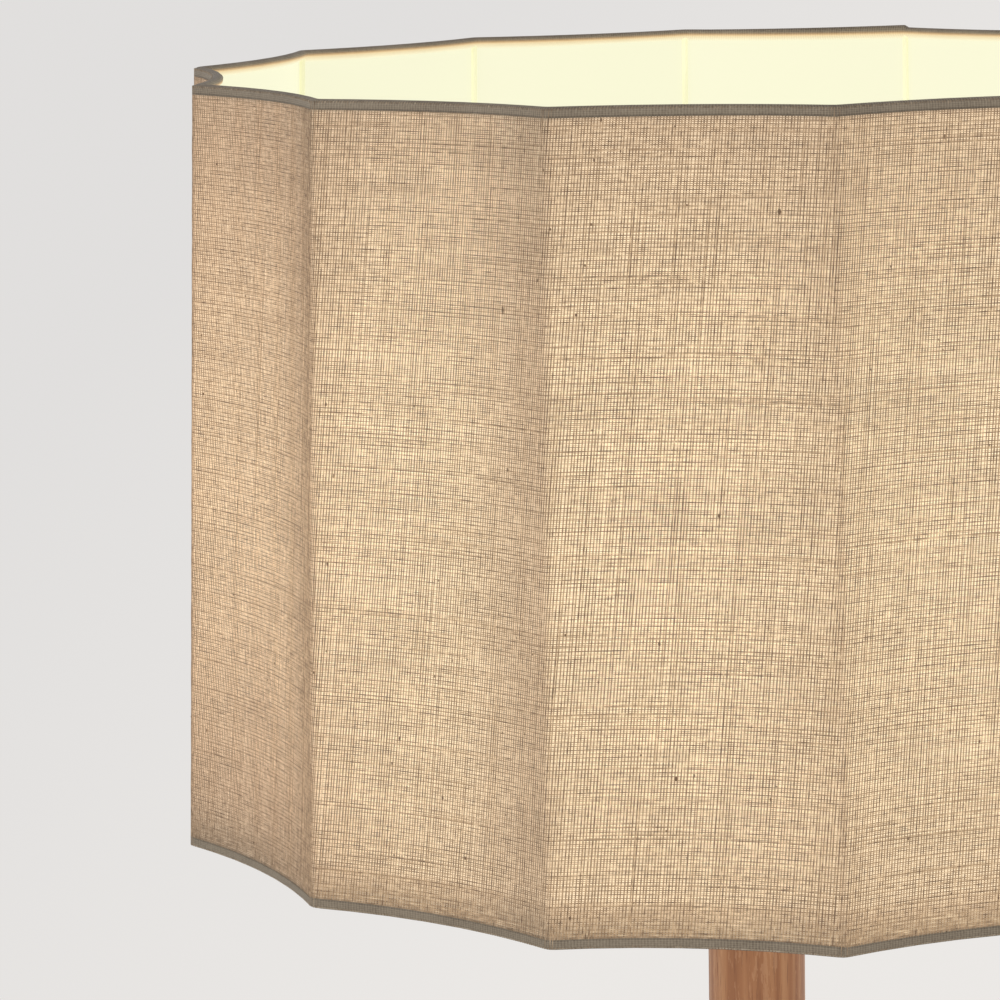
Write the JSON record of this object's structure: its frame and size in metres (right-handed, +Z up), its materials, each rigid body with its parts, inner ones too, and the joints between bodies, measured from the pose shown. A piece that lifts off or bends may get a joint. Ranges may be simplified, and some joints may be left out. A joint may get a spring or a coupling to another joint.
{
  "type": "tripod floor lamp",
  "caption": "Floor lamp: a scalloped linen drum shade on a round wooden post over a folding tripod of tapered wooden legs.",
  "frame": {"origin": "on the lamp's axis at floor level", "axes": "+Z up along the post; one leg points along -Y"},
  "size_m": [0.5176, 0.5277, 1.55],
  "materials": {
    "linen": "coarse natural weave",
    "lining": "translucent pale laminate",
    "hem_tape": "the cover's linen, turned over",
    "white_wire": "white powder coat",
    "holder_plastic": "black phenolic",
    "ceramic": "glazed",
    "bulb_glass": "opal, warm white",
    "plated_steel": "nickel plate",
    "wood": "oiled, reddish brown",
    "brass": "satin",
    "steel": "zinc plate",
    "rubber": "matte",
    "black_plastic": "fine grain",
    "white_plastic": "smooth",
    "lead": "brown insulation"
  },
  "bodies": {
    "stand": {"shade_cover": "linen", "shade_lining": "lining", "top_hem": "hem_tape", "bottom_hem": "hem_tape", "top_ring": "white_wire", "bottom_ring": "white_wire", "shade_ribs": "white_wire", "shade_spider": "white_wire", "holder_cap": "holder_plastic", "holder_sleeve": "holder_plastic", "lower_shade_ring": "holder_plastic", "upper_shade_ring": "holder_plastic", "holder_insert": "ceramic", "screw_shell": "plated_steel", "centre_contact": "brass", "switch_block": "white_plastic", "bulb_glass": "bulb_glass", "bulb_cap": "plated_steel", "bulb_contact": "plated_steel", "post": "wood", "post_cap": "brass", "threaded_tube": "steel", "clamp_washer": "steel", "clamp_nut": "steel", "hub": "wood", "bottom_plate": "brass", "plate_screws": "brass", "cord_gland": "black_plastic", "terminal_block": "white_plastic", "inner_leads": "lead", "leg_bolts": "brass", "bolt_washers": "brass"},
    "switch": {"switch_spindle": "steel", "switch_knob": "holder_plastic"},
    "leg_1": {"leg_1": "wood", "leg_bush_1": "brass", "leg_foot_1": "rubber"},
    "knob_1": {"leg_knob_1": "brass"},
    "leg_2": {"leg_2": "wood", "leg_bush_2": "brass", "leg_foot_2": "rubber"},
    "knob_2": {"leg_knob_2": "brass"},
    "leg_3": {"leg_3": "wood", "leg_bush_3": "brass", "leg_foot_3": "rubber"},
    "knob_3": {"leg_knob_3": "brass"}
  },
  "joints": [
    {"name": "switch_turn", "type": "hinge", "parent": "stand", "child": "switch", "pos_m": [0.02819, -0.01026, 1.286], "axis": [0.9397, -0.342, 0], "continuous": true},
    {"name": "leg_1_fold", "type": "hinge", "parent": "stand", "child": "leg_1", "pos_m": [0, -0.031, 1.06], "axis": [1, 0, 0], "range_deg": [0, 13.4]},
    {"name": "knob_1_turn", "type": "hinge", "parent": "stand", "child": "knob_1", "pos_m": [0.032, -0.031, 1.06], "axis": [1, 0, 0], "continuous": true},
    {"name": "leg_2_fold", "type": "hinge", "parent": "stand", "child": "leg_2", "pos_m": [0.02685, 0.0155, 1.06], "axis": [-0.5, 0.866, 0], "range_deg": [0, 13.4]},
    {"name": "knob_2_turn", "type": "hinge", "parent": "stand", "child": "knob_2", "pos_m": [0.01085, 0.04321, 1.06], "axis": [-0.5, 0.866, 0], "continuous": true},
    {"name": "leg_3_fold", "type": "hinge", "parent": "stand", "child": "leg_3", "pos_m": [-0.02685, 0.0155, 1.06], "axis": [-0.5, -0.866, 0], "range_deg": [0, 13.4]},
    {"name": "knob_3_turn", "type": "hinge", "parent": "stand", "child": "knob_3", "pos_m": [-0.04285, -0.01221, 1.06], "axis": [-0.5, -0.866, 0], "continuous": true}
  ]
}
